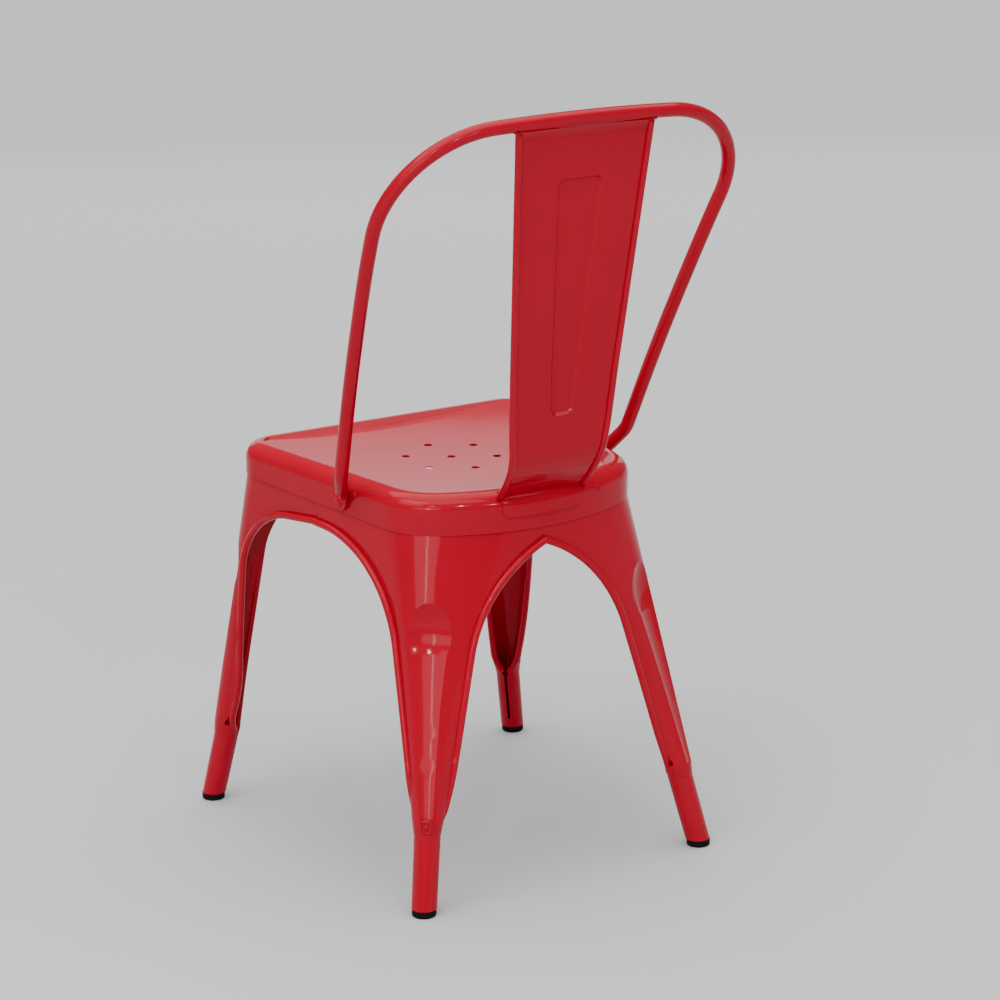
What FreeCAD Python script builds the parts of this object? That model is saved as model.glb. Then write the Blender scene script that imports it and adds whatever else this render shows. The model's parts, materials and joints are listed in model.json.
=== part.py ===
import FreeCAD, Part
import math
import os

# A stacking chair of pressed sheet steel with a bent tube back.
# Millimetres, +Z up, the front at -Y, left as the sitter's left at +X.
# The origin lies on the floor under the middle of the chair's overall box.

os.makedirs("parts", exist_ok=True)

# How far the overall box's middle lies behind the seat's own middle
middle_shift = 1.4

# Sheet and general clearances
sheet = 1.2
seat_gap = 0.3
overrun = 12.0

# How much of a free run a bend may take in a bent path
round_share = 0.45
round_end_share = 0.9

# Seat outline, measured on the skirt's outer face
seat_front = 190.6
seat_rear = 163.5
rear_bow_radius = 258.0
rear_corner_x = 82.2
rear_corner_radius = 71.0
front_corner_x = 148.6
front_corner_radius = 41.0

# Seat heights on the middle line, and how far the crest and the skirt's edge fall to the rear
crest_height = 439.4
skirt_drop = 39.3
crest_fall_share = 0.026
seam_fall_share = 0.05

# Seat rim and dished pan
rim_round = 17.5
rim_width = 19.0
pan_wall = 7.0
pan_depth = 12.5
pan_radius = 2600.0
pan_middle_y = 2.0
hole_middle_y = -28.1
hole_radius = 4.75
hole_circle = 50.9
holes_round = 6

# Feet and ankles: plan places of the tube's centre at the floor and at the ankle
rear_foot = (179.0, 196.4)
rear_ankle = (160.6, 177.7)
front_foot = (208.2, 241.8)
front_ankle = (191.1, 225.6)
ankle_height = 97.0
neck_height = 82.0
ankle_radius = 17.0
ankle_wrap_degrees = 45.0
neck_radius = 14.4
foot_radius = 13.8
slit_width = 3.2
slit_degrees = 225.0
slit_foot = 20.0
vee_foot = 79.0
vee_top = 99.0
vee_half_top = 20.0
vee_shares = (0.0, 0.65)

# How the legs meet the seat and each other
leg_tuck = 6.0
leg_inset = 2.1
side_seam_y = -30.0
wing_overrun = 60.0

# Arches: the bead's centre line, as an arc's centre and radius, the side's lean and the crown's height
bead_radius = 4.0
bead_rise = 3.2
bead_foot_rise = -0.5
bead_gather_degrees = 17.0
arch_steps = 4
arch_side_shares = (0.3, 0.6)
rear_arch = {"centre": -61.0, "height": 224.0, "radius": 165.0, "lean": 14.8, "crown": 377.5}
front_arch = {"centre": 60.0, "height": 289.0, "radius": 90.0, "lean": 7.5, "crown": 379.2}
side_arch_front = {"centre": 45.1, "height": 281.0, "radius": 95.0, "lean": 8.3, "crown": 380.0}
side_arch_rear = {"centre": 4.5, "height": 225.0, "radius": 154.5, "lean": 17.2, "crown": 380.0}

# Gutter down each leg's corner
gutter_top = 307.0
gutter_depth = 7.4
gutter_foot_depth = 1.0
gutter_radius = 75.0
gutter_foot_radius = 28.0
rear_gutter_degrees = 56.0
front_gutter_degrees = 45.0

# Round boss at one ankle
boss_radius = 7.5
boss_rise = 1.0

# Back hoop: tube and the corners of its route, all on the left half
tube_radius = 7.6
tube_wall = 1.2
hoop_bolt = (15.4, 413.0)
hoop_bend = (182.6, 49.2, 450.1)
hoop_low = (194.7, 96.1, 560.0)
hoop_high = (209.0, 160.6, 689.0)
hoop_corner = (222.5, 240.9, 830.9)
hoop_top = (252.0, 841.2)
shoulder_radius = 114.6
tongue_width = 21.0
tongue_thickness = 4.0
tongue_start_share = 0.45
hoop_bend_radius = 40.0

# Back splat
splat_top_y = 249.6
splat_lean_degrees = 9.45
splat_bend_height = 560.0
splat_bend_radius = 700.0
splat_foot_height = 426.0
splat_half_top = 84.1
splat_half_knee = 62.9
splat_half_foot = 55.0
splat_knee_height = 505.0
splat_roll_radius = 3.0
splat_roll_rise = 1.2
flange_drop = 6.0
tab_half_width = 50.0
tab_height = 20.0
tab_corner = 6.0
channel_top = 776.0
channel_bottom = 520.0
channel_half_top = 27.0
channel_half_bottom = 13.5
channel_corner = 8.0
channel_depth = 2.6
splat_roll_shares = (0, 0.09, 0.2, 0.36, 1)

# Fasteners
bolt_radius = 3.0
bolt_head_radius = 6.3
bolt_head_rise = 3.6
nut_radius = 5.8
nut_height = 4.5
rivet_radius = 1.6
rivet_head_radius = 2.8
rivet_head_rise = 1.6
rivet_place = (37.0, 423.5)

# Brace bars under the seat
bar_width = 20.0
bar_thickness = 3.0
bar_height = 377.0
bar_middle_y = -9.8

# Foot caps
cap_radius = 13.2
cap_height = 8.0
cap_round = 1.5
spigot_height = 12.0


def vec(x, y, z):
    return FreeCAD.Vector(x, y, z)


def polar(centre, radius, degrees, z=0):
    turn = math.radians(degrees)
    return vec(centre[0] + radius * math.cos(turn), centre[1] + radius * math.sin(turn), z)


def arc(centre, radius, start, end, z=0):
    middle = polar(centre, radius, (start + end) / 2, z)
    return Part.Arc(polar(centre, radius, start, z), middle, polar(centre, radius, end, z)).toShape()


def line(start, end):
    return Part.LineSegment(start, end).toShape()


def mix(start, end, share):
    return start + (end - start) * share


def mirrored(shape, normal):
    return shape.mirror(vec(0, 0, 0), normal)


SIDE = vec(1, 0, 0)
DEPTH = vec(0, 1, 0)
UP = vec(0, 0, 1)

# The seat stands in a frame that leans to the rear, shifted so that its outline is true at the skirt's edge
seat_lean = math.degrees(math.atan(crest_fall_share))
seam_lean = math.degrees(math.atan(seam_fall_share))
seat_shift = vec(0, skirt_drop * crest_fall_share, crest_height)
crest_frame = FreeCAD.Placement(seat_shift, FreeCAD.Rotation(SIDE, -seat_lean))
seam_height = crest_height - skirt_drop

# Corner centres and tangent angles follow from the outline's sizes
rear_bow_y = seat_rear - rear_bow_radius
rear_corner_y = rear_bow_y + math.sqrt((rear_bow_radius - rear_corner_radius) ** 2 - rear_corner_x ** 2)
front_corner_y = front_corner_radius - seat_front
rear_corner = (rear_corner_x, rear_corner_y)
front_corner = (front_corner_x, front_corner_y)
bow_centre = (0, rear_bow_y)
bow_degrees = math.degrees(math.atan2(rear_corner_y - rear_bow_y, rear_corner_x))
side_run = math.hypot(front_corner_x - rear_corner_x, front_corner_y - rear_corner_y)
side_heading = math.degrees(math.atan2(front_corner_y - rear_corner_y, front_corner_x - rear_corner_x))
side_degrees = side_heading + math.degrees(math.acos((rear_corner_radius - front_corner_radius) / side_run))


def seat_outline(inset, z=0):
    rear = rear_corner_radius - inset
    front = front_corner_radius - inset
    bow = rear_bow_radius - inset
    mirror_rear = (-rear_corner_x, rear_corner_y)
    mirror_front = (-front_corner_x, front_corner_y)
    edges = [
        arc(front_corner, front, -90, side_degrees, z),
        line(polar(front_corner, front, side_degrees, z), polar(rear_corner, rear, side_degrees, z)),
        arc(rear_corner, rear, side_degrees, bow_degrees, z),
        arc(bow_centre, bow, bow_degrees, 180 - bow_degrees, z),
        arc(mirror_rear, rear, 180 - bow_degrees, 180 - side_degrees, z),
        line(polar(mirror_rear, rear, 180 - side_degrees, z), polar(mirror_front, front, 180 - side_degrees, z)),
        arc(mirror_front, front, 180 - side_degrees, 270, z),
        line(polar(mirror_front, front, 270, z), polar(front_corner, front, -90, z)),
    ]
    return Part.Wire(edges)


def prism(wire, depth):
    return Part.Face(wire).extrude(vec(0, 0, depth))


def flat_edges(shape, z):
    span = sheet / 10
    return [edge for edge in shape.Edges if abs(edge.BoundBox.ZMin - z) < span and abs(edge.BoundBox.ZMax - z) < span]


def seat_block(inset):
    block = prism(seat_outline(inset, -inset), -skirt_drop * 2)
    block = block.makeFillet(rim_round - inset, flat_edges(block, -inset))
    block.Placement = crest_frame
    return block.cut(below_seam(inset))


# All that lies under the skirt's edge
def below_seam(inset):
    size = seat_front * 4
    space = Part.makeBox(size, size, size, vec(-size / 2, -size / 2, -size))
    space.Placement = FreeCAD.Placement(vec(0, 0, seam_height - inset), FreeCAD.Rotation(SIDE, -seam_lean))
    return space


def pan_recess(grow):
    rim = seat_outline(rim_width - grow, overrun)
    crest = seat_outline(rim_width - grow, 0)
    foot = seat_outline(rim_width + pan_wall - grow, -pan_wall)
    floor = seat_outline(rim_width + pan_wall - grow, -pan_depth - overrun)
    upper = Part.makeLoft([crest, rim], True, True)
    wall = Part.makeLoft([foot, crest], True, True)
    lower = Part.makeLoft([floor, foot], True, True)
    dish = Part.makeSphere(pan_radius + grow, vec(0, pan_middle_y, pan_radius - pan_depth))
    recess = upper.fuse([wall, lower]).removeSplitter().common(dish)
    recess.Placement = crest_frame
    return recess


def make_seat_pan():
    pan = seat_block(0).cut(pan_recess(0))
    hollow = seat_block(sheet).cut(pan_recess(sheet))
    pan = pan.cut(hollow)
    places = [(0, hole_middle_y)]
    for step in range(holes_round):
        spot = polar((0, hole_middle_y), hole_circle, 90 + step * 360 / holes_round)
        places.append((spot.x, spot.y))
    for x, y in places:
        pan = pan.cut(Part.makeCylinder(hole_radius, skirt_drop, vec(x, y, crest_height - skirt_drop)))
    for side in (1, -1):
        pan = pan.cut(through_skirt(bolt_radius + seat_gap, hoop_bolt, side))
        pan = pan.cut(through_skirt(rivet_radius, rivet_place, side))
    return pan


# The skirt's side face, where the hoop's ends and their fasteners sit
def skirt_spot(place, outward, side=1):
    y, z = place
    reach = rear_corner_x * math.cos(math.radians(side_degrees))
    reach += rear_corner_y * math.sin(math.radians(side_degrees)) + rear_corner_radius
    x = (reach - y * math.sin(math.radians(side_degrees))) / math.cos(math.radians(side_degrees))
    return vec(side * x, y, z) + skirt_normal(side) * outward


def skirt_normal(side=1):
    flat = polar((0, 0), 1, side_degrees)
    return vec(side * flat.x, flat.y, 0)


def through_skirt(radius, place, side):
    return Part.makeCylinder(radius, 2 * overrun, skirt_spot(place, -overrun, side), skirt_normal(side))


# A leg is built at +X with its outer corner towards +Y; front legs are mirrored afterwards
def leg_spec(rear):
    if rear:
        return {
            "foot": rear_foot, "ankle": rear_ankle, "corner": rear_corner, "radius": rear_corner_radius,
            "side": side_degrees, "end": bow_degrees, "bow": True, "fall": -1, "seam": side_seam_y,
            "arch": rear_arch, "side_arch": side_arch_rear, "gutter": rear_gutter_degrees,
            "bar_gap": seat_gap * 6,
        }
    return {
        "foot": front_foot, "ankle": front_ankle, "corner": (front_corner_x, -front_corner_y),
        "radius": front_corner_radius, "side": -side_degrees, "end": 90, "bow": False, "fall": 1,
        "seam": -side_seam_y, "arch": front_arch, "side_arch": side_arch_front,
        "gutter": front_gutter_degrees, "bar_gap": seat_gap,
    }


def side_point(spec, radius, y):
    turn = math.radians(spec["side"])
    reach = spec["corner"][0] * math.cos(turn) + spec["corner"][1] * math.sin(turn) + radius
    return vec((reach - y * math.sin(turn)) / math.cos(turn), y, 0)


def ankle_wire(spec, inset):
    radius = ankle_radius - inset
    centre = spec["ankle"]
    half_slit = math.degrees(math.asin(slit_width / 2 / ankle_radius))
    z = ankle_height
    low = spec["side"] - ankle_wrap_degrees
    high = spec["end"] + ankle_wrap_degrees
    start = polar(centre, radius, slit_degrees - 360 + half_slit, z)
    end = polar(centre, radius, slit_degrees - half_slit, z)
    edges = [
        arc(centre, radius, slit_degrees - 360 + half_slit, low, z),
        arc(centre, radius, low, high, z),
        arc(centre, radius, high, slit_degrees - half_slit, z),
    ]
    if inset:
        out_start = polar(centre, ankle_radius + overrun, slit_degrees - 360 + half_slit, z)
        out_end = polar(centre, ankle_radius + overrun, slit_degrees - half_slit, z)
        edges += [line(end, out_end), line(out_end, out_start), line(out_start, start)]
    else:
        edges += [line(end, start)]
    return Part.Wire(edges)


def cap_wire(spec, inset):
    radius = spec["radius"] - leg_inset - inset
    corner = spec["corner"]
    start = side_point(spec, radius, spec["seam"] - wing_overrun)
    side_end = polar(corner, radius, spec["side"])
    edges = [line(start, side_end), arc(corner, radius, spec["side"], spec["end"])]
    if spec["bow"]:
        bow = rear_bow_radius - leg_inset - inset
        past = math.degrees(math.asin(wing_overrun / bow))
        end = polar(bow_centre, bow, 90 + past)
        edges.append(arc(bow_centre, bow, spec["end"], 90 + past))
    else:
        end = vec(-wing_overrun, corner[1] + radius, 0)
        edges.append(line(polar(corner, radius, spec["end"]), end))
    if inset:
        away = (start - end).cross(UP).normalize() * overrun
        edges += [line(end, end + away), line(end + away, start + away), line(start + away, start)]
    else:
        edges.append(line(end, start))
    wire = Part.Wire(edges)
    top = seam_height + leg_tuck
    wire.Placement = FreeCAD.Placement(vec(0, 0, top), FreeCAD.Rotation(SIDE, spec["fall"] * seam_lean))
    return wire


def leg_body(spec, inset):
    return Part.makeLoft([ankle_wire(spec, inset), cap_wire(spec, inset)], True, True)


def gutter_tool(spec, grow):
    turn = spec["gutter"]
    share = (gutter_top - ankle_height) / (seam_height - ankle_height)
    low = polar(spec["ankle"], ankle_radius, turn, ankle_height)
    corner = polar(spec["corner"], spec["radius"] - leg_inset, turn, seam_height)
    high = low + (corner - low) * share
    out = polar((0, 0), 1, turn)
    low = low + out * (gutter_foot_radius - gutter_foot_depth)
    high = high + out * (gutter_radius - gutter_depth)
    axis = high - low
    cone = Part.makeCone(gutter_foot_radius + grow, gutter_radius + grow, axis.Length, low, axis)
    return cone.fuse(Part.makeSphere(gutter_radius + grow, high))


# A path of straight runs and tangent arcs; a corner with no radius takes what its runs allow
def turn_at(points, index):
    before = (points[index] - points[index - 1]).normalize()
    after = (points[index + 1] - points[index]).normalize()
    return before.getAngle(after)


def bent_path(points, radii):
    last = len(points) - 1
    reach = [0] * (last + 1)
    for index, radius in radii.items():
        reach[index] = radius * math.tan(turn_at(points, index) / 2)
    for index in range(1, last):
        if index in radii:
            continue
        free = []
        for other in (index - 1, index + 1):
            run = points[index].distanceToPoint(points[other])
            fixed = other in radii or other in (0, last)
            free.append((run - reach[other]) * round_end_share if fixed else run * round_share)
        reach[index] = min(free)
    edges = []
    start = points[0]
    for index in range(1, last):
        corner = points[index]
        before = (corner - points[index - 1]).normalize()
        after = (points[index + 1] - corner).normalize()
        half = turn_at(points, index) / 2
        first = corner - before * reach[index]
        second = corner + after * reach[index]
        bow = reach[index] * math.tan(half / 2)
        inward = (after - before).normalize()
        middle = (first + second) / 2 - inward * (bow * math.cos(half))
        edges.append(line(start, first))
        edges.append(Part.Arc(first, middle, second).toShape())
        start = second
    edges.append(line(start, points[last]))
    return Part.Wire(edges)


def pipe(path, radius):
    edge = path.Edges[0]
    start = edge.valueAt(edge.FirstParameter)
    heading = edge.tangentAt(edge.FirstParameter)
    ring = Part.Wire(Part.makeCircle(radius, start, heading))
    return path.makePipeShell([ring], True, False)


# Half an arch: up the straight side, round the arc and on by its tangent to the crown
def arch_end(arch):
    rise = arch["crown"] - arch["height"]
    span = math.hypot(arch["centre"], rise)
    return math.degrees(math.atan2(rise, -arch["centre"]) - math.acos(arch["radius"] / span))


def arch_side(arch, z):
    first = polar((arch["centre"], arch["height"]), arch["radius"], arch["lean"])
    return first.x + (first.y - z) * math.tan(math.radians(arch["lean"]))


def arch_points(arch):
    last = arch_end(arch)
    step = (last - arch["lean"]) / arch_steps
    points = []
    for share in arch_side_shares:
        z = mix(ankle_height, arch["height"], share)
        points.append((arch_side(arch, z), z))
    for index in range(arch_steps):
        turn = arch["lean"] + step * (index + 1 / 2)
        radius = arch["radius"] / math.cos(math.radians(step / 2))
        spot = polar((arch["centre"], arch["height"]), radius, turn)
        points.append((spot.x, spot.y))
    slope = math.radians(last)
    points.append((-overrun * math.sin(slope), arch["crown"] + overrun * math.cos(slope)))
    return points


def arch_prism(arch, middle, along_y, spec):
    centre = (middle + arch["centre"], arch["height"])
    last = arch_end(arch)
    bend = arc(centre, arch["radius"], arch["lean"], last)
    ankle = spec["ankle"][0] if along_y else spec["ankle"][1]
    base = vec(ankle - ankle_radius * math.cos(math.radians(ankle_wrap_degrees)), ankle_height, 0)
    first = arch_points(arch)[0]
    knee = vec(middle + first[0], first[1], 0)
    top = polar(centre, arch["radius"], last)
    rise = overrun / math.tan(math.radians(last))
    far_top = vec(middle - overrun, arch["crown"] + rise, 0)
    far_base = vec(middle - overrun, ankle_height, 0)
    edges = [line(far_base, base), line(base, knee), line(knee, polar(centre, arch["radius"], arch["lean"]))]
    edges += [bend, line(top, far_top), line(far_top, far_base)]
    solid = Part.Face(Part.Wire(edges)).extrude(UP * seat_front * 2)
    if along_y:
        solid.rotate(vec(0, 0, 0), SIDE, 90)
        solid.translate(DEPTH * seat_front * 2)
    else:
        solid.rotate(vec(0, 0, 0), vec(1, 1, 1), 120)
    return solid


# The outer surface of a leg's body over a place on the arch
def on_wing(body, u, z, middle, along_y):
    far = seat_front * 2
    rise = mix(bead_foot_rise, bead_rise, (z - ankle_height) / (seam_height - ankle_height))
    if along_y:
        ray = Part.makeLine(vec(u, 0, z), vec(u, far, z))
        hits = [vertex.Point.y for vertex in body.common(ray).Vertexes]
        return vec(u, max(hits) + rise, z)
    ray = Part.makeLine(vec(0, middle + u, z), vec(far, middle + u, z))
    hits = [vertex.Point.x for vertex in body.common(ray).Vertexes]
    return vec(max(hits) + rise, middle + u, z)


# Both beads of a leg gather at the foot of its ankle's notch, one on each side of the slit
def bead_root(spec, along_y, share):
    side = -1 if along_y else 1
    turn = side * mix(bead_gather_degrees, 90, share)
    z = mix(vee_foot, vee_top, math.sin(math.radians(abs(turn))))
    x, y = axis_point(spec, z)
    radius = mix(neck_radius, ankle_radius, max(0, (z - neck_height) / (ankle_height - neck_height)))
    return polar((x, y), radius - bead_radius + bead_rise * share, slit_degrees + turn, z)


def make_bead(spec, body, arch, middle, along_y):
    points = [on_wing(body, u, z, middle, along_y) for u, z in arch_points(arch)]
    roots = [bead_root(spec, along_y, share) for share in vee_shares]
    return pipe(bent_path(roots + points, {}), bead_radius)


def axis_point(spec, z):
    share = z / ankle_height
    return (mix(spec["foot"][0], spec["ankle"][0], share), mix(spec["foot"][1], spec["ankle"][1], share))


def ring_at(spec, z, radius):
    x, y = axis_point(spec, z)
    return Part.Wire(Part.makeCircle(radius, vec(x, y, z), UP))


def ankle_tube(spec, inset):
    foot = ring_at(spec, cap_height, foot_radius - inset)
    neck = ring_at(spec, neck_height, neck_radius - inset)
    ankle = ring_at(spec, ankle_height, ankle_radius - inset)
    lower = Part.makeLoft([foot, neck], True, True)
    return lower.fuse(Part.makeLoft([neck, ankle], True, True))


# The inner side of the ankle opens upwards in a notch, from the slit to half the tube's round
def notch_tool(spec):
    inward = polar((0, 0), 1, slit_degrees)
    across = inward.cross(UP)
    low = vec(*axis_point(spec, vee_foot), vee_foot)
    rise = (vee_top - vee_foot) * vee_half_top / ankle_radius
    high = vec(*axis_point(spec, vee_foot + rise), vee_foot + rise)
    corners = [low, high + across * vee_half_top, high - across * vee_half_top, low]
    return Part.Face(Part.makePolygon(corners)).extrude(inward * (ankle_radius + overrun))


def slit_tool(spec):
    inward = polar((0, 0), 1, slit_degrees)
    across = inward.cross(UP)
    foot = axis_point(spec, slit_foot)
    ankle = axis_point(spec, ankle_height)
    low = vec(foot[0], foot[1], slit_foot) - across * (slit_width / 2)
    high = vec(ankle[0], ankle[1], ankle_height) - across * (slit_width / 2)
    out = inward * (ankle_radius + overrun)
    corners = [low, high, high + out, low + out, low]
    return Part.Face(Part.makePolygon(corners)).extrude(across * slit_width)


def make_leg(rear):
    spec = leg_spec(rear)
    outer = leg_body(spec, 0)
    sheet_body = outer.cut(gutter_tool(spec, 0))
    hollow = leg_body(spec, sheet).cut(gutter_tool(spec, sheet))
    leg = sheet_body.cut(hollow)
    leg = leg.cut(arch_prism(spec["arch"], 0, True, spec))
    leg = leg.cut(arch_prism(spec["side_arch"], spec["seam"], False, spec))
    tube = ankle_tube(spec, 0).cut(ankle_tube(spec, sheet))
    beads = [
        make_bead(spec, outer, spec["arch"], 0, True),
        make_bead(spec, outer, spec["side_arch"], spec["seam"], False),
    ]
    leg = leg.fuse(tube).cut(notch_tool(spec))
    leg = leg.fuse(beads)
    leg = leg.cut(slit_tool(spec))
    big = seat_front * 2
    leg = leg.common(Part.makeBox(big, big, big * 2, vec(0, spec["seam"], 0)))
    if rear:
        return leg
    return mirrored(leg, DEPTH)


def add_boss(leg):
    spec = leg_spec(True)
    out = polar((0, 0), 1, rear_gutter_degrees)
    seat = polar(spec["ankle"], ankle_radius - boss_rise, rear_gutter_degrees, ankle_height)
    return leg.fuse(Part.makeCylinder(boss_radius, boss_rise * 2, seat, out))


# Back hoop
def hoop_points():
    spot = skirt_spot(hoop_bolt, seat_gap + tongue_thickness / 2)
    bend = vec(*hoop_bend)
    start = mix(spot, bend, tongue_start_share)
    left = [start, bend, vec(*hoop_low), vec(*hoop_high), vec(*hoop_corner)]
    right = [vec(-point.x, point.y, point.z) for point in reversed(left)]
    return left + [vec(0, *hoop_top)] + right


def hoop_path():
    points = hoop_points()
    last = len(points) - 1
    return bent_path(points, {1: hoop_bend_radius, 4: shoulder_radius, 6: shoulder_radius, last - 1: hoop_bend_radius})


def tongue():
    normal = skirt_normal()
    centre = skirt_spot(hoop_bolt, seat_gap + tongue_thickness / 2)
    start = hoop_points()[0]
    toward = start - centre
    along = (toward - normal * toward.dot(normal)).normalize()
    across = normal.cross(along)
    heading = (centre - hoop_points()[1]).normalize()
    face = FreeCAD.Rotation(across, normal, along, "XZY")
    flat = Part.Wire(Part.Ellipse(vec(0, 0, 0), tongue_width / 2, tongue_thickness / 2).toShape())
    flat.Placement = FreeCAD.Placement(centre + along * (bolt_head_radius + tongue_thickness / 2), face)
    round_face = FreeCAD.Rotation(across, heading.cross(across), -heading, "XZY")
    ring = Part.Wire(Part.Circle(vec(0, 0, 0), UP, tube_radius).toShape())
    ring.Placement = FreeCAD.Placement(start, round_face)
    fan = Part.makeLoft([ring, flat], True, True)
    disc = Part.makeCylinder(tongue_width / 2, tongue_thickness, skirt_spot(hoop_bolt, seat_gap), normal)
    return fan.fuse(disc)


def make_hoop():
    path = hoop_path()
    tube = pipe(path, tube_radius).cut(pipe(path, tube_radius - tube_wall))
    end = tongue()
    hoop = tube.fuse([end, mirrored(end, SIDE)])
    for side in (1, -1):
        hoop = hoop.cut(through_skirt(bolt_radius + seat_gap, hoop_bolt, side))
    return hoop


# Back splat: its profile is a straight lean over one bend, and offsets count to the rear
def splat_profile(front, rear):
    lean = math.radians(splat_lean_degrees)
    top_z = hoop_top[1]
    bend_y = splat_top_y - (top_z - splat_bend_height) * math.tan(lean)
    centre = vec(0, bend_y - splat_bend_radius * math.cos(lean), splat_bend_height + splat_bend_radius * math.sin(lean))
    foot = math.asin((centre.z - splat_foot_height) / splat_bend_radius)
    outline = []
    for offset in (front, rear):
        radius = splat_bend_radius + offset
        spots = []
        for turn in (lean, (lean + foot) / 2, foot):
            spots.append(centre + vec(0, radius * math.cos(turn), -radius * math.sin(turn)))
        high = vec(0, splat_top_y + offset / math.cos(lean), top_z)
        outline.append((high, spots))
    (front_high, front_spots), (rear_high, rear_spots) = outline
    edges = [
        line(front_high, front_spots[0]), Part.Arc(*front_spots).toShape(), line(front_spots[2], rear_spots[2]),
        Part.Arc(*rear_spots).toShape(), line(rear_spots[0], rear_high), line(rear_high, front_high),
    ]
    face = Part.Face(Part.Wire(edges))
    face.translate(vec(-splat_half_top * 2, 0, 0))
    return face.extrude(SIDE * splat_half_top * 4)


def splat_y(z):
    lean = math.radians(splat_lean_degrees)
    bend_y = splat_top_y - (hoop_top[1] - splat_bend_height) * math.tan(lean)
    if z > splat_bend_height:
        return bend_y + (z - splat_bend_height) * math.tan(lean)
    rise = splat_bend_height + splat_bend_radius * math.sin(lean) - z
    return bend_y - splat_bend_radius * math.cos(lean) + math.sqrt(splat_bend_radius ** 2 - rise ** 2)


def splat_half(z):
    if z > splat_knee_height:
        share = (z - splat_knee_height) / (hoop_top[1] - splat_knee_height)
        return mix(splat_half_knee, splat_half_top, share)
    return mix(splat_half_foot, splat_half_knee, (z - splat_foot_height) / (splat_knee_height - splat_foot_height))


def upright_prism(corners, y):
    points = [vec(x, y, z) for x, z in corners]
    return Part.Face(Part.makePolygon(points + points[:1])).extrude(DEPTH * splat_top_y)


# The channel's outline in the plate's leaning plane; it grows to the rear, so that the walls slope
def channel_ring(rise):
    lean = math.radians(splat_lean_degrees)
    bend_y = splat_top_y - (hoop_top[1] - splat_bend_height) * math.tan(lean)
    low = (channel_bottom - splat_bend_height) / math.cos(lean) - rise
    high = (channel_top - splat_bend_height) / math.cos(lean) + rise
    bottom = channel_half_bottom + rise
    top = channel_half_top + rise
    corners = [vec(bottom, low, 0), vec(top, high, 0), vec(-top, high, 0), vec(-bottom, low, 0)]
    points = [vec(0, low, 0)] + corners + [vec(0, low, 0)]
    radius = channel_corner + rise
    ring = bent_path(points, {1: radius, 2: radius, 3: radius, 4: radius})
    turn = FreeCAD.Rotation(SIDE, 90 - splat_lean_degrees)
    rear = vec(0, math.cos(lean), -math.sin(lean))
    ring.Placement = FreeCAD.Placement(vec(0, bend_y, splat_bend_height) + rear * rise, turn)
    return ring


def channel_tool(grow):
    rings = [channel_ring(-channel_depth * 2), channel_ring(channel_depth * 2)]
    tool = Part.makeLoft(rings, True, True)
    tool.translate(DEPTH * -grow)
    return tool


def splat_foot_y():
    return splat_y(splat_foot_height) - overrun


def make_splat():
    half = sheet / 2
    top = hoop_top[1]
    plate = splat_profile(-half, half)
    heights = [mix(splat_foot_height, top, share) for share in splat_roll_shares]
    right = [(splat_half(z) - splat_roll_radius, z) for z in heights]
    left = [(-x, z) for x, z in reversed(right)]
    plate = plate.common(upright_prism(right + left, splat_foot_y()))
    pressed = splat_profile(-half - channel_depth, 0).common(channel_tool(sheet * 2))
    pocket = splat_profile(half - channel_depth, sheet).common(channel_tool(0))
    plate = plate.fuse(pressed).cut(pocket)
    rolls = []
    for side in (1, -1):
        points = []
        for z in heights:
            points.append(vec(side * (splat_half(z) - splat_roll_radius), splat_y(z) + splat_roll_rise, z))
        rolls.append(pipe(bent_path(points, {}), splat_roll_radius))
    path = hoop_path()
    sleeve = pipe(path, tube_radius + seat_gap + sheet)
    big = splat_half_top * 2
    keep = Part.makeBox(big, big, overrun * 2, vec(-splat_half_top, splat_top_y - splat_half_top, 0))
    keep.translate(vec(0, 0, hoop_crown() - flange_drop - overrun * 2))
    splat = plate.fuse(rolls + [splat_tab(), sleeve.common(keep)])
    above = Part.makeBox(big * 2, big * 2, overrun * 2, vec(-big, splat_top_y - big, hoop_crown() - flange_drop))
    splat = splat.cut(above)
    return splat.cut(pipe(path, tube_radius + seat_gap))


def hoop_crown():
    path = hoop_path()
    return max(vertex.Point.z for vertex in path.Vertexes)


# The tab follows the bowed rear of the skirt and a narrow ledge ties it to the plate
def splat_tab():
    inner = rear_bow_radius + seat_gap
    outer = inner + sheet
    drop = crest_height - crest_fall_share * seat_rear - splat_foot_height
    ring = Part.makeCylinder(outer, tab_height, vec(0, rear_bow_y, -drop - tab_height + sheet))
    ring = ring.cut(Part.makeCylinder(inner, tab_height * 3, vec(0, rear_bow_y, -drop - tab_height * 2)))
    front = seat_rear / 2
    ring = ring.common(Part.makeBox(tab_half_width * 2, seat_rear, tab_height * 4, vec(-tab_half_width, front, -tab_height * 3)))
    corners = [edge for edge in ring.Edges if edge.Length < sheet * 2 and edge.Vertexes[0].Z < -drop - sheet]
    ring = ring.makeFillet(tab_corner, corners)
    ledge_back = splat_y(splat_foot_height) + sheet
    ledge = Part.makeBox(tab_half_width * 2, ledge_back - front, sheet, vec(-tab_half_width, front, -drop))
    ledge = ledge.cut(Part.makeCylinder(inner, tab_height * 3, vec(0, rear_bow_y, -drop - tab_height)))
    tab = ring.fuse(ledge)
    tab.Placement = crest_frame
    return tab


# Fasteners
def dome(radius, rise, spot, normal):
    ball = (radius ** 2 + rise ** 2) / (2 * rise)
    cap = Part.makeSphere(ball, spot - normal * (ball - rise))
    return cap.common(Part.makeCylinder(radius, rise * 2, spot, normal))


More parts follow.
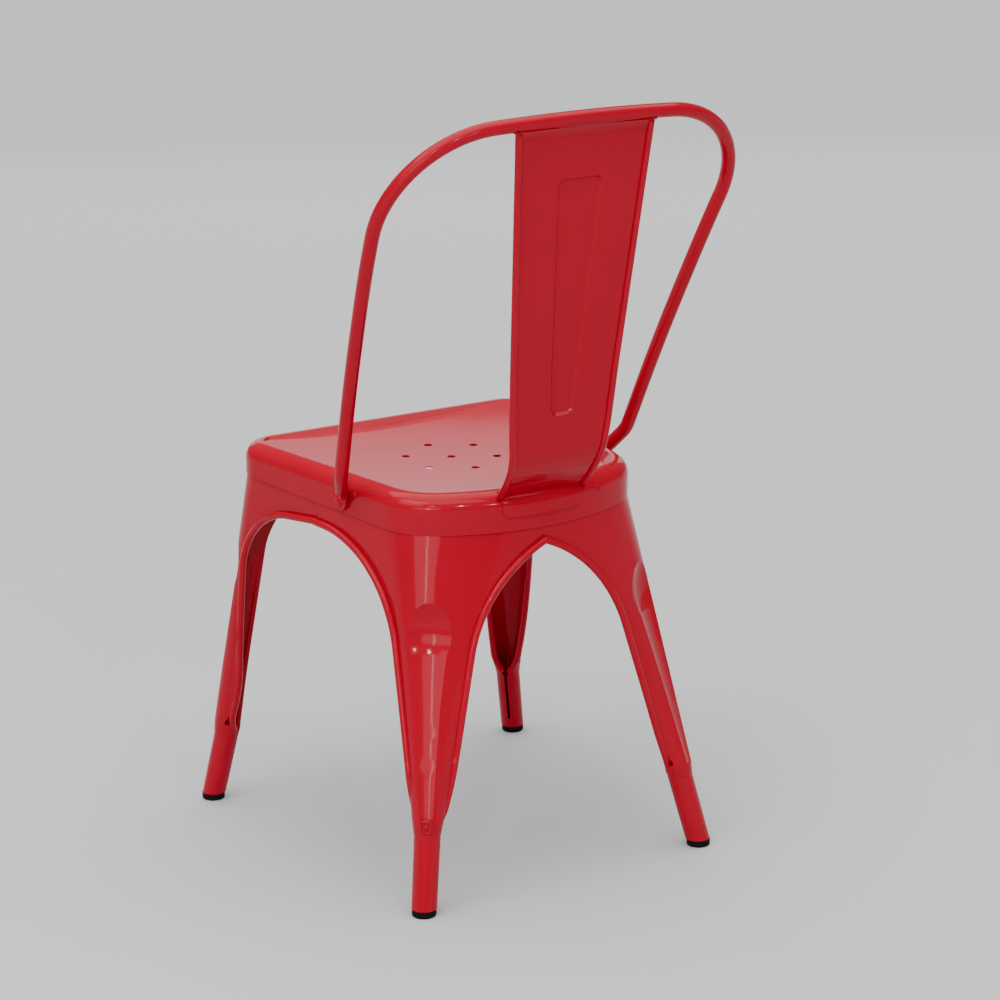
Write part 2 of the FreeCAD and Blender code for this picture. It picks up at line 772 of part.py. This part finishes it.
def make_bolt(side):
    normal = skirt_normal(side)
    face = skirt_spot(hoop_bolt, seat_gap + tongue_thickness, side)
    tip = skirt_spot(hoop_bolt, -sheet - nut_height - sheet, side)
    shank = Part.makeCylinder(bolt_radius, tip.distanceToPoint(face), tip, face - tip)
    return dome(bolt_head_radius, bolt_head_rise, face, normal).fuse(shank)


def make_nut(side):
    normal = skirt_normal(side)
    spot = skirt_spot(hoop_bolt, -sheet - seat_gap, side)
    corners = [polar((0, 0), nut_radius, 60 * step) for step in range(7)]
    nut = Part.Face(Part.makePolygon(corners)).extrude(UP * nut_height)
    nut = nut.cut(Part.makeCylinder(bolt_radius + seat_gap / 3, nut_height))
    nut.Placement = FreeCAD.Placement(spot, FreeCAD.Rotation(UP, -normal))
    return nut


def make_rivet(side):
    normal = skirt_normal(side)
    face = skirt_spot(rivet_place, 0, side)
    tip = skirt_spot(rivet_place, -sheet * 2, side)
    shank = Part.makeCylinder(rivet_radius, tip.distanceToPoint(face), tip, face - tip)
    return dome(rivet_head_radius, rivet_head_rise, face, normal).fuse(shank)


# Brace bars cross under the seat, from one rear leg's corner to the other front leg's
def corner_reach(heading, spec, z):
    share = (z - ankle_height) / (seam_height + leg_tuck - ankle_height)
    ankle = vec(spec["ankle"][0], spec["ankle"][1], 0)
    centre = mix(ankle, vec(spec["corner"][0], spec["corner"][1], 0), share)
    radius = mix(ankle_radius, spec["radius"] - leg_inset, share) - sheet - spec["bar_gap"]
    start = vec(0, -spec["fall"] * bar_middle_y, 0)
    along = (centre - start).dot(heading)
    off = (centre - start).cross(heading).Length
    return along + math.sqrt(radius ** 2 - off ** 2)


def make_bar(side, z):
    rear = leg_spec(True)
    front = leg_spec(False)
    run = vec(rear_corner_x + front_corner_x, rear_corner_y - front_corner_y, 0).normalize()
    high = corner_reach(run, rear, z + bar_thickness)
    low = corner_reach(run, front, z + bar_thickness)
    bar = Part.makeBox(high + low, bar_width, bar_thickness, vec(-low, -bar_width / 2, z))
    bar = bar.cut(Part.makeCylinder(rivet_radius * 2 + seat_gap, bar_thickness * 3, vec(0, 0, z - bar_thickness)))
    bar.rotate(vec(0, 0, 0), UP, math.degrees(math.atan2(run.y, run.x)))
    bar.translate(vec(0, bar_middle_y, 0))
    if side < 0:
        return mirrored(bar, SIDE)
    return bar


def make_brace_rivet():
    low = vec(0, bar_middle_y, bar_height)
    high = vec(0, bar_middle_y, bar_height + bar_thickness * 2)
    shank = Part.makeCylinder(rivet_radius * 2, bar_thickness * 2, low)
    radius = rivet_head_radius * 2
    heads = []
    for spot, out in ((high, UP), (low, -UP)):
        heads.append(Part.makeCone(radius, rivet_radius * 2, rivet_head_rise * 2, spot, out))
    return shank.fuse(heads)


# Foot caps: a round pad with a spigot up the leg's tube
def make_foot_cap(rear):
    spec = leg_spec(rear)
    x, y = axis_point(spec, cap_height / 2)
    pad = Part.makeCylinder(cap_radius, cap_height, vec(x, y, 0))
    pad = pad.makeChamfer(cap_round, flat_edges(pad, 0))
    inner = foot_radius - sheet * 2
    low = vec(*axis_point(spec, cap_height / 2), cap_height / 2)
    run = vec(*axis_point(spec, cap_height + spigot_height), cap_height + spigot_height) - low
    cap = pad.fuse(Part.makeCylinder(inner, run.Length, low, run))
    if rear:
        return cap
    return mirrored(cap, DEPTH)


def save(shape, node):
    shape = shape.copy()
    shape.translate(DEPTH * -middle_shift)
    if len(shape.Solids) == 1:
        shape = shape.Solids[0]
    shape.exportStep("parts/%s.step" % node)
    print("%-22s valid %s solids %d volume %.0f" % (node, shape.isValid(), len(shape.Solids), shape.Volume))


def main():
    save(make_seat_pan(), "seat_pan")
    for rear, name in ((True, "rear"), (False, "front")):
        left = make_leg(rear)
        right = mirrored(left, SIDE)
        if rear:
            left = add_boss(left)
        save(left, "leg_%s_left" % name)
        save(right, "leg_%s_right" % name)
        cap = make_foot_cap(rear)
        save(cap, "foot_cap_%s_left" % name)
        save(mirrored(cap, SIDE), "foot_cap_%s_right" % name)
    save(make_hoop(), "back_hoop")
    save(make_splat(), "back_splat")
    save(make_bar(1, bar_height), "brace_lower")
    save(make_bar(-1, bar_height + bar_thickness), "brace_upper")
    save(make_brace_rivet(), "brace_rivet")
    for side, name in ((1, "left"), (-1, "right")):
        save(make_bolt(side), "hoop_bolt_%s" % name)
        save(make_nut(side), "hoop_nut_%s" % name)
        save(make_rivet(side), "skirt_rivet_%s" % name)


main()
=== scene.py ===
# %% [markdown]
# A red café chair of pressed sheet steel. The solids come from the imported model, in metres, with +Z up,
# the seat's front towards -Y and the sitter's left towards +X. This script gives them their paint, rubber
# and zinc. It makes some forms of the back and a few small marks as pieces of their own, and sets a studio
# round the chair.

import json
import math

import bmesh
import bpy
from mathutils import Matrix, Quaternion, Vector


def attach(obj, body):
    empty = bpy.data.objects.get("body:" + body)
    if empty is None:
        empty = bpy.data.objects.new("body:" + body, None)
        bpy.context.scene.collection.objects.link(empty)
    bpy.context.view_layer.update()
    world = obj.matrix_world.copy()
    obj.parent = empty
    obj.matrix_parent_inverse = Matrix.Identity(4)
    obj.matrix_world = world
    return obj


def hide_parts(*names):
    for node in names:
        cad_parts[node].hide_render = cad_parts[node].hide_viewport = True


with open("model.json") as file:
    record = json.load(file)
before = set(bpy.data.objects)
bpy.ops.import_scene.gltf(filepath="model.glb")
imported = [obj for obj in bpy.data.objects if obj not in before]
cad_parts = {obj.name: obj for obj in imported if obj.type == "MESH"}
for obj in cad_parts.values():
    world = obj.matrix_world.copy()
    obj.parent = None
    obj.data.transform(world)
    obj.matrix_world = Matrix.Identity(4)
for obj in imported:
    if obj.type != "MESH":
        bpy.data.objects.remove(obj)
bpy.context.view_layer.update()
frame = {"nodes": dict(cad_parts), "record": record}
nodes = frame["nodes"]
print("nodes:", len(nodes))

# %% [markdown]
# The photograph was taken from behind the chair's left side, a little above the seat, with a long lens.
# The camera's place and lens were solved from the seat's ring of holes, the arches and the feet, so they
# are written here as plain numbers. The picture leans by just under one degree, and that lean is a turn
# about the camera's own axis.

# %% Camera
view_point = Vector((1.6507, 2.7426, 1.2695))
aim_point = Vector((-0.0626, -0.0295, 0.3675))
lens_length = 107.76
film_width = 36
farthest_seen = 200
picture_lean = math.radians(-0.90)


def make_camera():
    data = bpy.data.cameras.new("view")
    data.lens = lens_length
    data.sensor_width = film_width
    data.clip_end = farthest_seen
    camera = bpy.data.objects.new("view", data)
    bpy.context.scene.collection.objects.link(camera)
    level = (aim_point - view_point).to_track_quat("-Z", "Y")
    camera.rotation_mode = "QUATERNION"
    camera.rotation_quaternion = level @ Quaternion((0, 0, 1), picture_lean)
    camera.location = view_point
    bpy.context.scene.camera = camera


make_camera()
print("camera to aim:", round((aim_point - view_point).length, 3), "m")

# %% [markdown]
# Shader maths reads best as plain expressions. This small class wraps a socket, and each operator adds one
# Math node. Both are the reflected kind, because every expression here has its plain number on the left,
# as in 0.05 * haze.


# %% Shader maths
class Wire:
    def __init__(self, finish, socket):
        self.finish = finish
        self.socket = socket

    def math(self, operation, *values):
        settings = {"operation": operation}
        return self.finish.node("ShaderNodeMath", settings, dict(enumerate(values)))

    def __radd__(self, other):
        return self.math("ADD", other, self)

    def __rmul__(self, other):
        return self.math("MULTIPLY", other, self)


class Finish:
    def __init__(self, name):
        self.material = bpy.data.materials.new(name)
        self.material.use_nodes = True
        self.tree = self.material.node_tree
        self.paint = self.tree.nodes["Principled BSDF"]

    def node(self, kind, settings, values, output=0):
        made = self.tree.nodes.new(kind)
        for name, setting in settings.items():
            setattr(made, name, setting)
        for name, value in values.items():
            self.join(made.inputs[name], value)
        return Wire(self, made.outputs[output])

    def join(self, socket, value):
        if isinstance(value, Wire):
            self.tree.links.new(value.socket, socket)
        else:
            socket.default_value = value

    def set(self, **values):
        for name, value in values.items():
            title = name.replace("_", " ").title().replace("Ior", "IOR")
            self.join(self.paint.inputs[title], value)

    def noise(self, scale, detail, roughness=0.5):
        place = self.node("ShaderNodeTexCoord", {}, {}, "Object")
        values = {"Vector": place, "Scale": scale, "Detail": detail, "Roughness": roughness}
        return self.node("ShaderNodeTexNoise", {}, values, "Fac")

    def blend(self, share, first, second):
        settings = {"data_type": "RGBA"}
        return self.node("ShaderNodeMix", settings, {0: share, 6: first, 7: second}, 2)

    def bump(self, height, distance, strength, below=None):
        values = {"Height": height, "Distance": distance, "Strength": strength}
        if below:
            values["Normal"] = below
        return self.node("ShaderNodeBump", {}, values)


# %% [markdown]
# The paint is a baked powder coat: a glossy red skin. Up close it isn't perfectly smooth. It has a fine
# orange-peel ripple a few millimetres across, and the pressed sheet under it has long, shallow waves that
# bend the reflections. Two bumps of very different scale make both. The colour drifts a little where the
# coat is thicker.

# %% Red powder coat
deep_red = (0.32, 0.0, 0.0115, 1)
bright_red = (0.38, 0.0, 0.0145, 1)
paint_gloss = 0.15
paint_roughness = 0.085
haze_roughness = 0.05
drift_scale = 7.0
haze_scale = 38.0
peel_scale = 420.0
wave_scale = 11.0
peel_height = 0.00004
wave_height = 0.0003
paint_bump = 0.30


def red_powder_coat():
    finish = Finish("red_powder_coat")
    drift = finish.noise(drift_scale, 3.0)
    haze = finish.noise(haze_scale, 3.0, 0.6)
    peel = finish.noise(peel_scale, 1.0)
    wave = finish.noise(wave_scale, 1.0)
    waves = finish.bump(wave, wave_height, paint_bump)
    skin = finish.bump(peel, peel_height, paint_bump, waves)
    finish.set(
        base_color=finish.blend(drift, deep_red, bright_red),
        roughness=paint_roughness + haze_roughness * haze,
        specular_ior_level=paint_gloss,
        normal=skin,
    )
    return finish.material


red_paint = red_powder_coat()

# %% [markdown]
# The foot caps are moulded black rubber. Rubber is dull, slightly grey where it has rubbed on a floor,
# and has a fine grain. The nuts inside the skirt are zinc plated: pale, satin and faintly mottled.

# %% Rubber and zinc
clean_rubber = (0.0012, 0.0012, 0.0014, 1)
dusty_rubber = (0.0040, 0.0038, 0.0038, 1)
rubber_gloss = 0.12
rubber_roughness = 0.55
grain_scale = 900.0
grain_height = 0.00008
grain_bump = 0.4
dust_scale = 60.0
dark_zinc = (0.42, 0.43, 0.45, 1)
pale_zinc = (0.62, 0.62, 0.60, 1)
zinc_roughness = 0.28
mottle_scale = 260.0
uneven_roughness = 0.2


def cap_rubber():
    finish = Finish("cap_rubber")
    grain = finish.noise(grain_scale, 2.0)
    dust = finish.noise(dust_scale, 4.0, 0.65)
    finish.set(
        base_color=finish.blend(dust, clean_rubber, dusty_rubber),
        roughness=rubber_roughness + uneven_roughness * dust,
        specular_ior_level=rubber_gloss,
        normal=finish.bump(grain, grain_height, grain_bump),
    )
    return finish.material


def plated_zinc():
    finish = Finish("plated_zinc")
    mottle = finish.noise(mottle_scale, 3.0)
    finish.set(
        base_color=finish.blend(mottle, dark_zinc, pale_zinc),
        metallic=1.0,
        roughness=zinc_roughness + uneven_roughness * mottle,
    )
    return finish.material


black_rubber = cap_rubber()
zinc = plated_zinc()

# %% [markdown]
# Each solid takes its finish through its material slot. The shape stays as it was imported.

# %% Put the finishes on
finish_of_slot = {"red_paint": red_paint, "black_rubber": black_rubber, "zinc": zinc}
for part in frame["record"]["subparts"]:
    mesh = nodes[part["node"]].data
    mesh.materials.clear()
    mesh.materials.append(finish_of_slot[part["material_slot"]])
print("painted:", len(nodes))

# %% [markdown]
# The splat's foot curls forward and lands on the seat's rolled rear rim. On a real chair a press bends it
# after the blank is cut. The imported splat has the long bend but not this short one, so a merged copy of it
# is bent here and its old tab is cut off. The shift is read from a short table of heights. A foot point
# that would fall below the rim's round is lifted onto it. That round is a plain arc, so the foot still
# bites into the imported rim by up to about 0.8 mm, where the real one is welded.

# %% Splat with its curled foot
smooth_angle = math.radians(32)
merge_gap = 0.000002
foot_cut = 0.4275
first_cut = 0.430
cut_step = 0.0025
cut_count = 40
# Height and shift to the rear at that height, in metres
foot_curl = (
    (0.427, -0.0125), (0.432, -0.0105), (0.444, -0.004), (0.456, 0.0015), (0.468, 0.005),
    (0.480, 0.006), (0.504, 0.0036), (0.528, 0.0015), (0.560, 0.0),
)
rim_centre = Vector((0, 0.1451, 0.4181))
rim_radius = 0.0175
rear_bow_radius = 0.2105


def between(table, place):
    for (low, first), (high, second) in zip(table, table[1:]):
        if place <= high:
            share = max(0.0, (place - low) / (high - low))
            return first + (second - first) * share
    return table[-1][1]


def bow(x):
    return -x * x / (2 * rear_bow_radius)


def rim_height(x, y):
    along = y - rim_centre.y - bow(x)
    if abs(along) >= rim_radius:
        return 0.0
    return rim_centre.z + math.sqrt(rim_radius ** 2 - along ** 2)


def to_piece(name, shape, slot, *replaced):
    for face in shape.faces:
        face.smooth = True
    for edge in shape.edges:
        edge.smooth = len(edge.link_faces) == 2 and edge.calc_face_angle() < smooth_angle
    mesh = bpy.data.meshes.new(name)
    shape.to_mesh(mesh)
    shape.free()
    mesh.materials.append(finish_of_slot[slot])
    piece = bpy.data.objects.new(name, mesh)
    bpy.context.scene.collection.objects.link(piece)
    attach(piece, "root")
    if replaced:
        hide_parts(*replaced)
    return piece


def cut_level(shape, height, clear_below=False):
    up = Vector((0, 0, 1))
    return bmesh.ops.bisect_plane(
        shape,
        geom=shape.verts[:] + shape.edges[:] + shape.faces[:],
        plane_co=up * height,
        plane_no=up,
        clear_inner=clear_below,
    )


def curled_splat():
    shape = bmesh.new()
    shape.from_mesh(nodes["back_splat"].data)
    bmesh.ops.remove_doubles(shape, verts=shape.verts, dist=merge_gap)
    made = cut_level(shape, foot_cut, clear_below=True)
    open_edges = [item for item in made["geom_cut"] if isinstance(item, bmesh.types.BMEdge)]
    bmesh.ops.holes_fill(shape, edges=open_edges)
    for step in range(cut_count):
        cut_level(shape, first_cut + cut_step * step)
    for point in shape.verts:
        if point.co.z < foot_curl[-1][0]:
            point.co.y += between(foot_curl, point.co.z)
            point.co.z = max(point.co.z, rim_height(point.co.x, point.co.y))
    return to_piece("splat_curled", shape, "red_paint", "back_splat")


splat = curled_splat()
print("splat faces:", len(splat.data.polygons))

# %% [markdown]
# The splat's long sides are rolled over into a round bead, so that nobody leans on a sharp edge. Each bead
# is a row of circles along the side, from just clear of the rim to just under the hoop.

# %% Rolled sides
splat_lean = math.radians(9.45)
# The splat's place to the rear and its height where it meets the hoop
splat_top = (0.2482, 0.8412)
splat_bend_height = 0.560
splat_bend_radius = 0.700
# Height and half the splat's width at that height, in metres
splat_widths = ((0.426, 0.0550), (0.505, 0.0629), (0.8412, 0.0841))
bead_radius = 0.0036
bead_back = 0.0009
bead_foot = 0.4290
bead_head = 0.8290
bead_rows = 96
bead_sides = 20


def splat_back(z):
    bend = splat_top[0] - (splat_top[1] - splat_bend_height) * math.tan(splat_lean)
    if z > splat_bend_height:
        return bend + (z - splat_bend_height) * math.tan(splat_lean)
    rise = splat_bend_height + splat_bend_radius * math.sin(splat_lean) - z
    middle = bend - splat_bend_radius * math.cos(splat_lean)
    return middle + math.sqrt(splat_bend_radius ** 2 - rise ** 2)


def bead_point(side, share):
    z = bead_foot + (bead_head - bead_foot) * share
    x = side * (between(splat_widths, z) - bead_radius)
    y = splat_back(z) + between(foot_curl, z) + bead_back
    return Vector((x, y, z))


def swept(points, radius, sides):
    shape = bmesh.new()
    rows = []
    for number, place in enumerate(points):
        before = points[max(0, number - 1)]
        after = points[min(len(points) - 1, number + 1)]
        along = (after - before).to_track_quat("Z", "Y")
        row = []
        for side in range(sides):
            angle = math.tau * side / sides
            spoke = Vector((math.cos(angle), math.sin(angle), 0)) * radius
            row.append(shape.verts.new(place + along @ spoke))
        rows.append(row)
    for row, after in zip(rows, rows[1:]):
        for side in range(sides):
            beyond = (side + 1) % sides
            shape.faces.new((row[side], row[beyond], after[beyond], after[side]))
    shape.faces.new(tuple(reversed(rows[0])))
    shape.faces.new(tuple(rows[-1]))
    return shape


for side, name in ((1, "splat_bead_left"), (-1, "splat_bead_right")):
    points = [bead_point(side, row / bead_rows) for row in range(bead_rows + 1)]
    to_piece(name, swept(points, bead_radius, bead_sides), "red_paint")
print("bead rows:", bead_rows)

# %% [markdown]
# A tab of the same sheet runs on from the foot, over the rim and a little way down the skirt. It is spot
# welded there and its lower corners are rounded. It is a grid wrapped round the rim's own curve and then
# given the sheet's thickness.

# %% Tab over the rim
sheet = 0.0012
tab_half = 0.050
tab_corner = 0.007
tab_start = math.radians(66)
tab_straight = 0.0105
tab_columns = 40
tab_rows = 36
tab_gap = 0.0010


def tab_point(across, down):
    arc = rim_radius * tab_start
    length = arc + tab_straight
    run = down * length
    past = max(0.0, run - (length - tab_corner))
    half = tab_half - tab_corner + math.sqrt(max(0.0, tab_corner ** 2 - past ** 2))
    x = across * half
    angle = max(0.0, tab_start - run / rim_radius)
    reach = rim_radius + tab_gap + sheet
    y = rim_centre.y + reach * math.cos(angle) + bow(x)
    z = rim_centre.z + reach * math.sin(angle) - max(0.0, run - arc)
    return Vector((x, y, z))


def wrapped_tab():
    shape = bmesh.new()
    bmesh.ops.create_grid(shape, x_segments=tab_columns, y_segments=tab_rows, size=1.0)
    for point in shape.verts:
        point.co = tab_point(point.co.x, (1 - point.co.y) / 2)
    bmesh.ops.recalc_face_normals(shape, faces=shape.faces)
    if sum(face.normal.y for face in shape.faces) < 0:
        bmesh.ops.reverse_faces(shape, faces=shape.faces)
    bmesh.ops.solidify(shape, geom=shape.faces[:], thickness=sheet)
    return to_piece("splat_tab", shape, "red_paint")


tab = wrapped_tab()
print("tab faces:", len(tab.data.polygons))

# %% [markdown]
# At the top the splat is welded to the underside of the hoop, and the seam is filled and smoothed before it
# is painted. The filler is a thin cove that runs from the tube's lower back to the splat's rear face. Its
# section is a curve with one pull point, and it drops a little towards both ends, as the tube does.

# %% Cove under the hoop
cove_half = 0.081
cove_columns = 48
cove_rows = 10
tube_middle = Vector((0, 0.2481, 0.8389))
tube_outer = 0.00765
tube_drop = Vector((0, -0.00175, -0.0015))
cove_from = math.radians(-36)
cove_to = Vector((0, 0.2460, 0.8225))
cove_pull = Vector((0, 0.2486, 0.8292))


def cove_point(across, down):
    drop = tube_drop * across * across
    spoke = Vector((0, math.cos(cove_from), math.sin(cove_from)))
    start = tube_middle + spoke * tube_outer + drop
    pull = cove_pull + drop
    place = start * (1 - down) ** 2 + pull * 2 * down * (1 - down) + cove_to * down * down
    return Vector((across * cove_half, place.y, place.z))


def hoop_cove():
    shape = bmesh.new()
    bmesh.ops.create_grid(shape, x_segments=cove_columns, y_segments=cove_rows, size=1.0)
    for point in shape.verts:
        point.co = cove_point(point.co.x, (1 - point.co.y) / 2)
    bmesh.ops.solidify(shape, geom=shape.faces[:], thickness=sheet)
    return to_piece("hoop_cove", shape, "red_paint")


cove = hoop_cove()
print("cove faces:", len(cove.data.polygons))

# %% [markdown]
# A round boss at one ankle carries a raised ring and a pip. Two spot welds show as small marks: a pimple at
# the tab's lower edge and a ring on the rim beside the splat. Each is turned to lie flat on its surface.

# %% Ring, pip and welds
ring_turns = 48
ring_sides = 12
pip_turns = 32
pip_rows = 16
# Each ring: middle, outward direction, radius and wire radius in metres
rings = {
    "boss_ring": ((0.1709, 0.1912, 0.0964), (0.559, 0.829, 0.0), 0.0068, 0.0010),
    "weld_ring": ((-0.0754, 0.1512, 0.4199), (-0.302, 0.945, 0.124), 0.0030, 0.0006),
}
# Each pip: middle, outward direction, radius and rise in metres
pips = {
    "boss_pip": ((0.1715, 0.1910, 0.0964), (0.559, 0.829, 0.0), 0.0028, 0.0018),
    "weld_pip": ((-0.0029, 0.1650, 0.4092), (0.0, 0.985, 0.17), 0.0020, 0.0009),
}


def on_surface(middle, outward):
    turn = Vector(outward).to_track_quat("Z", "Y").to_matrix().to_4x4()
    return Matrix.Translation(middle) @ turn


def make_ring(name, middle, outward, radius, wire):
    shape = bmesh.new()
    rows = []
    for turn in range(ring_turns):
        angle = math.tau * turn / ring_turns
        row = []
        for side in range(ring_sides):
            tilt = math.tau * side / ring_sides
            reach = radius + wire * math.cos(tilt)
            place = (reach * math.cos(angle), reach * math.sin(angle), wire * math.sin(tilt))
            row.append(shape.verts.new(place))
        rows.append(row)
    for row, after in zip(rows, rows[1:] + rows[:1]):
        for side in range(ring_sides):
            beyond = (side + 1) % ring_sides
            shape.faces.new((row[side], after[side], after[beyond], row[beyond]))
    shape.transform(on_surface(middle, outward))
    return to_piece(name, shape, "red_paint")


def make_pip(name, middle, outward, radius, rise):
    shape = bmesh.new()
    bmesh.ops.create_uvsphere(shape, u_segments=pip_turns, v_segments=pip_rows, radius=1.0)
    flattened = Matrix.Diagonal((radius, radius, rise, 1))
    shape.transform(on_surface(middle, outward) @ flattened)
    return to_piece(name, shape, "red_paint")


for name, values in rings.items():
    make_ring(name, *values)
for name, values in pips.items():
    make_pip(name, *values)
print("rings and pips:", len(rings) + len(pips))

# %% [markdown]
# The studio has a pale floor, a dim grey room, a soft overhead sky and seven lamps. The sky is a sun lamp
# with a very wide spread, and it carries most of the light. Gloss paint shows its lamps, so each lamp is
# placed for one reflection. The sweep stands opposite the camera, beyond the chair's front, and is there for
# the pale pink of the seat's top, which is seen at a flat angle. The key lights the chair's left side. The
# wide lamp and the narrow strip near the camera are there for the broad and the thin streak on the near leg.
# The three small spots are there for the bright points on the seat's rear rim.

# %% Floor and light
floor_radius = 40.0
floor_sides = 64
floor_grey = 0.44
floor_roughness = 0.9
room_colour = (1, 1, 1, 1)
room_strength = 0.28
sky_spread = math.radians(90)
sky_strength = 4.8
chair_middle = Vector((0, 0, 0.42))
# Each lamp: compass angle from +Y towards +X and height angle in degrees, distance, width and height in
# metres, and power in watts
lamps = {
    "sweep": (-149, 14, 5.0, 5.0, 1.6, 26),
    "key": (78, 44, 4.5, 3.0, 2.4, 70),
    "wide": (46, 13, 4.4, 3.4, 1.1, 34),
    "strip": (43, 13, 4.2, 0.18, 1.2, 9),
    "spot_high": (36, 30, 3.4, 0.12, 0.14, 13),
    "spot_middle": (11, 26, 3.4, 0.12, 0.14, 12),
    "spot_low": (-4, 20, 3.4, 0.10, 0.10, 8),
}


def make_floor():
    shape = bmesh.new()
    bmesh.ops.create_circle(shape, cap_ends=True, segments=floor_sides, radius=floor_radius)
    mesh = bpy.data.meshes.new("floor")
    shape.to_mesh(mesh)
    shape.free()
    floor = bpy.data.objects.new("floor", mesh)
    bpy.context.scene.collection.objects.link(floor)
    finish = Finish("pale_floor")
    finish.set(base_color=(floor_grey, floor_grey, floor_grey, 1), roughness=floor_roughness)
    mesh.materials.append(finish.material)


def make_room():
    world = bpy.data.worlds.new("studio")
    world.use_nodes = True
    background = world.node_tree.nodes["Background"]
    background.inputs["Color"].default_value = room_colour
    background.inputs["Strength"].default_value = room_strength
    bpy.context.scene.world = world


def make_sky():
    data = bpy.data.lights.new("sky", "SUN")
    data.angle = sky_spread
    data.energy = sky_strength
    bpy.context.scene.collection.objects.link(bpy.data.objects.new("sky", data))


def make_lamp(name, compass, height, distance, size_x, size_y, power):
    data = bpy.data.lights.new(name, "AREA")
    data.shape = "RECTANGLE"
    data.size = size_x
    data.size_y = size_y
    data.energy = power
    lamp = bpy.data.objects.new(name, data)
    bpy.context.scene.collection.objects.link(lamp)
    turn = math.radians(compass)
    rise = math.radians(height)
    level = math.cos(rise)
    out = Vector((math.sin(turn) * level, math.cos(turn) * level, math.sin(rise)))
    lamp.location = chair_middle + out * distance
    lamp.rotation_mode = "QUATERNION"
    lamp.rotation_quaternion = (-out).to_track_quat("-Z", "Y")


make_floor()
make_room()
make_sky()
for name, values in lamps.items():
    make_lamp(name, *values)
print("lamps:", len(lamps))
